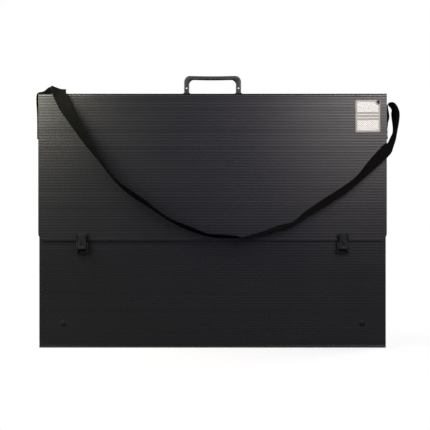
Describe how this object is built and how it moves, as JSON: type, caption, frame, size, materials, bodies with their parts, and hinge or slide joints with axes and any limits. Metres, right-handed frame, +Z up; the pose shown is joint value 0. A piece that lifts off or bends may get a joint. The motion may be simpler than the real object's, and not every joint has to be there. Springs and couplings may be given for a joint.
{
  "type": "drawing portfolio case",
  "caption": "Flat carrying case of black fluted board for drawings, with a hinged top and flap, snap clips, a push-down handle and a webbing shoulder strap.",
  "frame": {"origin": "on the base, under the middle of the case", "axes": "+X to the right seen from the front, the front faces -Y, +Z up"},
  "size_m": [0.9715, 0.0834, 0.7295],
  "materials": {
    "fluted_board": "satin black fluted polypropylene board",
    "moulded_black": "moulded black plastic",
    "moulded_handle": "moulded dark grey plastic, fine grain",
    "webbing": "woven black webbing",
    "tag_card": "printed card in a clear film",
    "tie_cord": "knotted black cord"
  },
  "bodies": {
    "root": {"back_panel": "fluted_board", "bottom_panel": "fluted_board", "front_panel": "fluted_board", "left_side_wall": "fluted_board", "right_side_wall": "fluted_board", "bottom_back_crease": "fluted_board", "bottom_front_crease": "fluted_board", "back_crease": "fluted_board", "left_corner_rivet": "moulded_black", "right_corner_rivet": "moulded_black", "left_corner_washer": "moulded_black", "right_corner_washer": "moulded_black", "left_keeper": "moulded_black", "right_keeper": "moulded_black", "left_keeper_plate": "moulded_black", "right_keeper_plate": "moulded_black", "strap_left": "webbing", "strap_right": "webbing", "left_strap_rivet": "moulded_black", "right_strap_rivet": "moulded_black", "left_strap_washer": "moulded_black", "right_strap_washer": "moulded_black"},
    "lid": {"top_panel": "fluted_board", "front_crease": "fluted_board", "handle_collars": "moulded_black", "handle_plate": "moulded_black"},
    "handle": {"handle": "moulded_handle"},
    "flap": {"flap": "fluted_board", "left_clip_base": "moulded_black", "right_clip_base": "moulded_black", "left_clip_pin": "moulded_black", "right_clip_pin": "moulded_black", "left_base_plate": "moulded_black", "right_base_plate": "moulded_black", "strap_front": "webbing", "tag": "tag_card", "tag_tie": "tie_cord"},
    "left_lever": {"left_clip_lever": "moulded_black"},
    "right_lever": {"right_clip_lever": "moulded_black"}
  },
  "joints": [
    {"name": "lid_hinge", "type": "hinge", "parent": "root", "child": "lid", "pos_m": [0, 0.02, 0.678], "axis": [-1, 0, 0], "range_deg": [0, 90], "deforming": ["strap_left", "strap_right"]},
    {"name": "flap_hinge", "type": "hinge", "parent": "lid", "child": "flap", "pos_m": [0, -0.02, 0.678], "axis": [-1, 0, 0], "range_deg": [0, 120], "deforming": ["strap_left", "strap_right"]},
    {"name": "left_clip", "type": "hinge", "parent": "flap", "child": "left_lever", "pos_m": [-0.348, -0.0271, 0.3025], "axis": [-1, 0, 0], "range_deg": [0, 100]},
    {"name": "right_clip", "type": "hinge", "parent": "flap", "child": "right_lever", "pos_m": [0.348, -0.0271, 0.3025], "axis": [-1, 0, 0], "range_deg": [0, 100]},
    {"name": "handle_slide", "type": "slide", "parent": "lid", "child": "handle", "axis": [0, 0, 1], "range_m": [-0.025, 0]}
  ]
}
